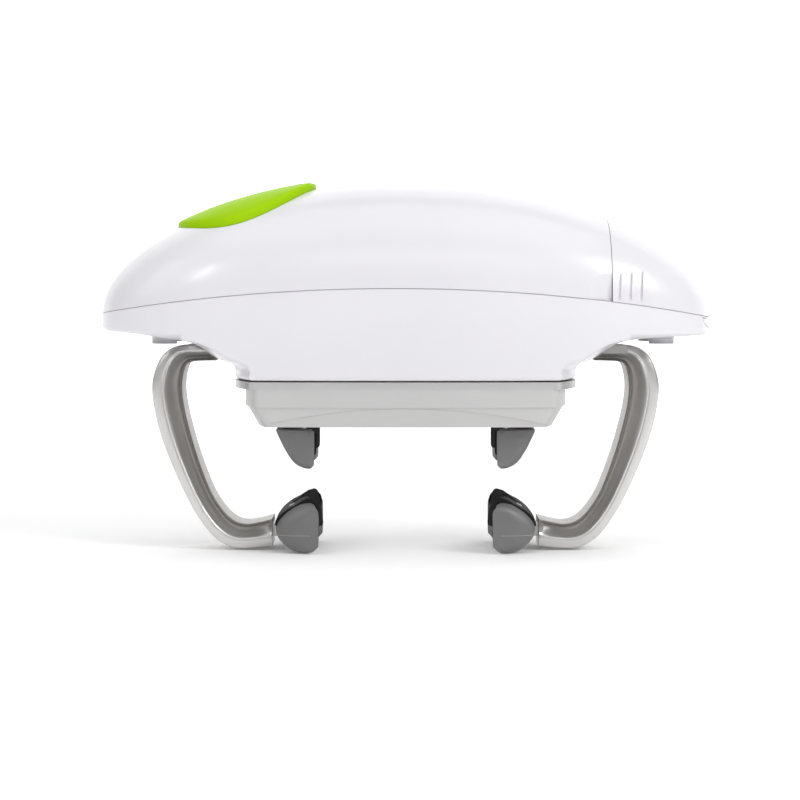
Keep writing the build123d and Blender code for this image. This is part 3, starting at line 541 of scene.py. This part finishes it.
# back: side outline, from the top of the inner edge round the back to its bottom
# vertex, tip, half: x of the V's bottom and of its ends, and half the piece's length
# middle, round, squash: the ends close over the last "round" mm, towards this height
# seat, proud: half the rubber's length, and how far it stands out of the V
# pad_low, pad_top, lean: the rubber's lower and upper edge, and how far its top leans back
# block: half the length over which the rubber is as deep as the grip, as far as back_x
# ridge: x and height of the block's highest line, and its fall per mm behind it
# droop: fall of the rubber's upper edge per mm beyond the block
GRIP = {
    "back": [(-30.6, 17.4), (-33.0, 17.6), (-36.2, 17.0), (-39.4, 15.3), (-42.2, 13.0),
             (-44.0, 10.4), (-44.3, 8.0), (-43.7, 5.6), (-42.3, 3.6), (-40.0, 1.5),
             (-37.2, 0.4), (-34.5, 0.05), (-30.6, 0.05)],
    "vertex": -39.6, "tip": -28.9, "half": 22.0, "middle": 8.2, "round": 6.5, "squash": 0.34,
    "seat": 19.4, "proud": 0.9, "pad_low": 5.6, "pad_top": 17.2, "lean": 1.1, "droop": 1.8,
    "block": 18.6, "back_x": -44.7, "ridge": (-33.4, 19.3, 0.66),
}
JAW = {
    "back": [(-30.6, 42.5), (-34.0, 42.5), (-38.0, 42.5), (-42.0, 42.5), (-44.2, 42.4),
             (-43.5, 40.2), (-42.5, 38.1), (-41.6, 36.2), (-40.4, 34.2), (-39.2, 32.3),
             (-37.4, 30.4), (-34.6, 29.1), (-31.2, 28.8)],
    "vertex": -40.0, "tip": -30.6, "half": 20.0, "middle": 38.5, "round": 4.0, "squash": 0.16,
    "seat": 17.6, "proud": 1.3, "pad_low": 33.6, "pad_top": 42.2, "lean": 0.0, "droop": 0.0,
    "block": 0.0, "back_x": -43.0, "ridge": (0.0, 0.0, 0.0),
}


LUMP_RECESS = 1.7           # the lump stands this far behind the V under the rubber
LUMP_LIP = 0.3              # and this far beyond it
TIP_DEPTH = 0.10            # share of the depth that is left at the very end
BEAD_LEVEL = 6.4
BEAD_BACK_X = -44.05
BEAD_RADIUS = 0.15
BEAD_LENGTH = 7.5


def vee_x(shape, y):
    """Front of the V at y, with its bottom rounded."""
    bend = (abs(y) ** 3 + 1.8 ** 3) ** (1 / 3)
    return shape["vertex"] + (shape["tip"] - shape["vertex"]) * min(1.0, bend / shape["half"])


def clipped(back, front):
    """The outline with whatever lies past the front plane drawn back onto it."""
    tip = min(range(len(back)), key=lambda k: back[k].x)
    out = [(p.x, p.z) for p in back]
    for order in (range(tip, -1, -1), range(tip, len(back))):
        edge = None
        for k in order:
            x, z = out[k]
            if edge is None and x > front:
                edge = z
            if edge is not None:
                out[k] = (front, edge)
    return out


def lump(name, shape):
    """Grey body of a grip: a rounded bar whose ends close like a thumb tip."""
    back = along([(x, 0, z) for x, z in shape["back"]], 34)
    rows = 61
    verts = []
    for i in range(rows):
        y = -shape["half"] * math.cos(math.pi * i / (rows - 1))
        front = vee_x(shape, y) - (LUMP_RECESS if abs(y) < shape["seat"] else LUMP_LIP)
        pinch = falloff(max(shape["half"] - abs(y), 0.0), shape["round"])
        height = 1.0 - shape["squash"] * (1.0 - pinch)
        depth = TIP_DEPTH + (1.0 - TIP_DEPTH) * pinch
        for x, z in clipped(back, front):
            level = shape["middle"] + (z - shape["middle"]) * height
            verts.append((front + (x - front) * depth, y, level))
    obj = mesh_object(name, verts, tube_faces(rows, len(back)), grip_grey)
    outward(obj)
    modifier(obj, "SUBSURF", levels=1, render_levels=1)
    return obj


def block_top(shape, crest, block, x):
    """Height of the rubber's top at x, between its plain edge and the full block."""
    ridge_x, ridge_z, fall = shape["ridge"]
    return crest + block * (ridge_z - crest - fall * max(0.0, ridge_x - x))


def rubber_section(shape, y, reach):
    """Closed outline of the rubber at y: up the front, back over the top, down behind."""
    front = vee_x(shape, y) + shape["proud"]
    lean = shape["lean"]
    beyond = abs(y) - shape["block"]
    block = falloff(-beyond, 1.4) if beyond < 0 else 0.0
    end = 1 - falloff(reach - abs(y) + 0.3, 2.6)
    low = shape["pad_low"] + 0.4 * end
    crest = shape["pad_top"] - 0.8 * end - max(0.0, beyond) * shape["droop"]
    tall = block_top(shape, crest, block, front) - low
    behind = front - 1.2
    tail = behind + (shape["back_x"] - behind) * block
    tail_top = block_top(shape, crest, block, tail)
    edge = front - 0.35
    points = [(front - 0.6, low - 0.25), (front, low + 0.35)]
    points += [(front - 0.25 * lean, low + 0.30 * tall), (front - 0.7 * lean, low + 0.72 * tall)]
    points += [(front - lean, low + 0.90 * tall), (edge - lean, low + 0.97 * tall)]
    points.append((edge + (tail - edge) * 0.12, block_top(shape, crest, block, front - 1)))
    for k in range(1, 6):
        x = edge + (tail - edge) * (0.12 + 0.8 * k / 5)
        points.append((x, block_top(shape, crest, block, x)))
    points += [(tail, tail_top - 0.9 * block - 0.1), (tail, tail_top - 3.4 * block - 0.3)]
    points += [(behind + (tail - behind) * 0.5, low + 3.0), (behind, low)]
    return [(x, y, z) for x, z in points]


def rubber(name, shape):
    """Black V face; between the end lumps of a jar grip it is a full block."""
    rows = 73
    reach = shape["seat"] + 0.2
    sections = []
    for i in range(rows):
        y = -reach * math.cos(math.pi * i / (rows - 1))
        sections.append(rubber_section(shape, y, reach))
    verts = [point for section in sections for point in section]
    obj = mesh_object(name, verts, tube_faces(rows, len(sections[0])), pad_black)
    outward(obj)
    modifier(obj, "SUBSURF", levels=1, render_levels=1)
    return obj


def bead(name, shape):
    """Fine moulding line round each end of a jar grip, in a lighter grey than the grip that is a
    painted highlight on the bead.
    """
    turns, steps = 6, 48
    pieces = []
    for side in (-1, 1):
        route = []
        for i in range(15):
            y = shape["half"] - BEAD_LENGTH * (1 - i / 14) - 0.02
            front = vee_x(shape, y) - LUMP_LIP
            pinch = falloff(shape["half"] - y, shape["round"])
            x = front + (BEAD_BACK_X - front) * (TIP_DEPTH + (1.0 - TIP_DEPTH) * pinch)
            route.append((x, side * y, BEAD_LEVEL))
        path = along(route, steps)
        verts = []
        for i, at in enumerate(path):
            ahead = (path[min(i + 1, steps - 1)] - path[max(i - 1, 0)]).normalized()
            out = Vector((-ahead.y, ahead.x, 0))
            for k in range(turns):
                a = 2 * math.pi * k / turns
                rise = Vector((0, 0, BEAD_RADIUS * math.sin(a)))
                verts.append(at + out * BEAD_RADIUS * math.cos(a) + rise)
        piece = mesh_object(name, verts, tube_faces(steps, turns), bead_highlight_grey)
        outward(piece)
        pieces.append(piece)
    return join(name, pieces)


GRIP_PARTS = [
    (lump, GRIP, "grip_lump", "jar_grip", "grip_grey", "arm"),
    (rubber, GRIP, "grip_face", "jar_pad", "pad_black", "arm"),
    (bead, GRIP, "grip_bead", None, "grip_grey", "arm"),
    (lump, JAW, "jaw_lump", "lid_jaw", "grip_grey", "jaw"),
    (rubber, JAW, "jaw_face", "lid_pad", "pad_black", "jaw"),
]
for maker, shape, label, node, finish, body in GRIP_PARTS:
    left = maker(label + "_left", shape)
    for piece, side in ((left, "left"), (other_side(label + "_right", left), "right")):
        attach(piece, f"{side}_{body}")
        if node:
            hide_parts(f"{node}_{side}")


# ---- stage ----

def make_backdrop():
    """Pale sweep: a floor that curves up behind the object."""
    profile = [(-3.0, 0.0), (1.3, 0.0)]
    radius = 0.9
    for i in range(1, 17):
        a = math.radians(90 * i / 16)
        profile.append((1.3 + radius * math.sin(a), radius * (1 - math.cos(a))))
    profile.append((1.3 + radius, 4.0))
    verts = [(x, y, z) for y, z in profile for x in (-5.0, 5.0)]
    faces = [(2 * i, 2 * i + 1, 2 * i + 3, 2 * i + 2) for i in range(len(profile) - 1)]
    mesh = bpy.data.meshes.new("backdrop")
    mesh.from_pydata(verts, [], faces)
    mesh.shade_smooth()
    floor = bpy.data.objects.new("backdrop", mesh)
    scene.collection.objects.link(floor)
    mat, n, l, shader = new_material("backdrop")
    noise = n.new("ShaderNodeTexNoise")
    noise.inputs["Scale"].default_value = 3.0
    ramp = n.new("ShaderNodeValToRGB")
    ramp.color_ramp.elements[0].color = (0.93, 0.93, 0.93, 1)
    ramp.color_ramp.elements[1].color = (0.95, 0.95, 0.95, 1)
    l.new(noise.outputs["Fac"], ramp.inputs["Fac"])
    l.new(ramp.outputs["Color"], shader.inputs["Base Color"])
    shader.inputs["Roughness"].default_value = 0.9
    shader.inputs["Specular IOR Level"].default_value = 0.1
    # the sweep glows though it is no lamp: painted light, faint on the floor near the object and
    # bright up the back wall
    shader.inputs["Emission Color"].default_value = (1, 1, 1, 1)
    place = n.new("ShaderNodeNewGeometry")
    parts = n.new("ShaderNodeSeparateXYZ")
    glow = n.new("ShaderNodeMapRange")
    l.new(place.outputs["Position"], parts.inputs["Vector"])
    l.new(parts.outputs["Y"], glow.inputs["Value"])
    glow.inputs["From Min"].default_value = 0.2
    glow.inputs["From Max"].default_value = 1.9
    glow.inputs["To Min"].default_value = 0.10
    glow.inputs["To Max"].default_value = 0.95
    l.new(glow.outputs["Result"], shader.inputs["Emission Strength"])
    mesh.materials.append(mat)


def area_light(name, place, aim, size, power, colour=(1, 1, 1)):
    """Rectangular softbox pointing at a place."""
    light = bpy.data.lights.new(name, "AREA")
    light.shape = "RECTANGLE"
    light.size, light.size_y = size
    light.energy = power
    light.color = colour
    obj = bpy.data.objects.new(name, light)
    obj.location = place
    obj.rotation_euler = (Vector(aim) - Vector(place)).to_track_quat("-Z", "Y").to_euler()
    scene.collection.objects.link(obj)


make_backdrop()
area_light("key_right", (0.95, -0.75, 0.75), (0.03, 0, 0.08), (0.6, 0.6), 7.0)
area_light("fill_left", (-1.2, -0.6, 0.75), (0.0, 0, 0.09), (0.4, 0.9), 1.7)
area_light("glint_left", (-0.75, -0.9, 0.62), (-0.08, 0, 0.09), (0.07, 0.30), 1.4)
area_light("top", (0.0, -0.25, 1.4), (0, 0, 0), (1.6, 1.2), 6.6)
area_light("front", (0.1, -1.7, 0.9), (0, 0, 0.08), (1.2, 0.6), 2.4)


def make_world():
    """Soft studio surround: bright above, dim at the horizon."""
    world = bpy.data.worlds.new("studio")
    scene.world = world
    world.use_nodes = True
    n, l = world.node_tree.nodes, world.node_tree.links
    background = n["Background"]
    coords = n.new("ShaderNodeTexCoord")
    parts = n.new("ShaderNodeSeparateXYZ")
    ramp = n.new("ShaderNodeValToRGB")
    l.new(coords.outputs["Generated"], parts.inputs["Vector"])
    l.new(parts.outputs["Z"], ramp.inputs["Fac"])
    ramp.color_ramp.elements[0].position = 0.0
    ramp.color_ramp.elements[0].color = (0.14, 0.14, 0.14, 1)
    ramp.color_ramp.elements[1].position = 0.55
    ramp.color_ramp.elements[1].color = (1.0, 1.0, 1.0, 1)
    l.new(ramp.outputs["Color"], background.inputs["Color"])
    background.inputs["Strength"].default_value = 0.34


make_world()
scene.view_settings.view_transform = "Standard"

camera_data = bpy.data.cameras.new("camera")
camera_data.sensor_width = 36.0
camera_data.lens = 103.7
camera_data.clip_start = 0.05
camera_data.clip_end = 20.0
camera = bpy.data.objects.new("camera", camera_data)
camera.location = (-0.0019, -0.800, 0.0934)
camera.rotation_euler = (math.radians(87.0), 0, 0)
scene.collection.objects.link(camera)
scene.camera = camera

bpy.context.view_layer.update()
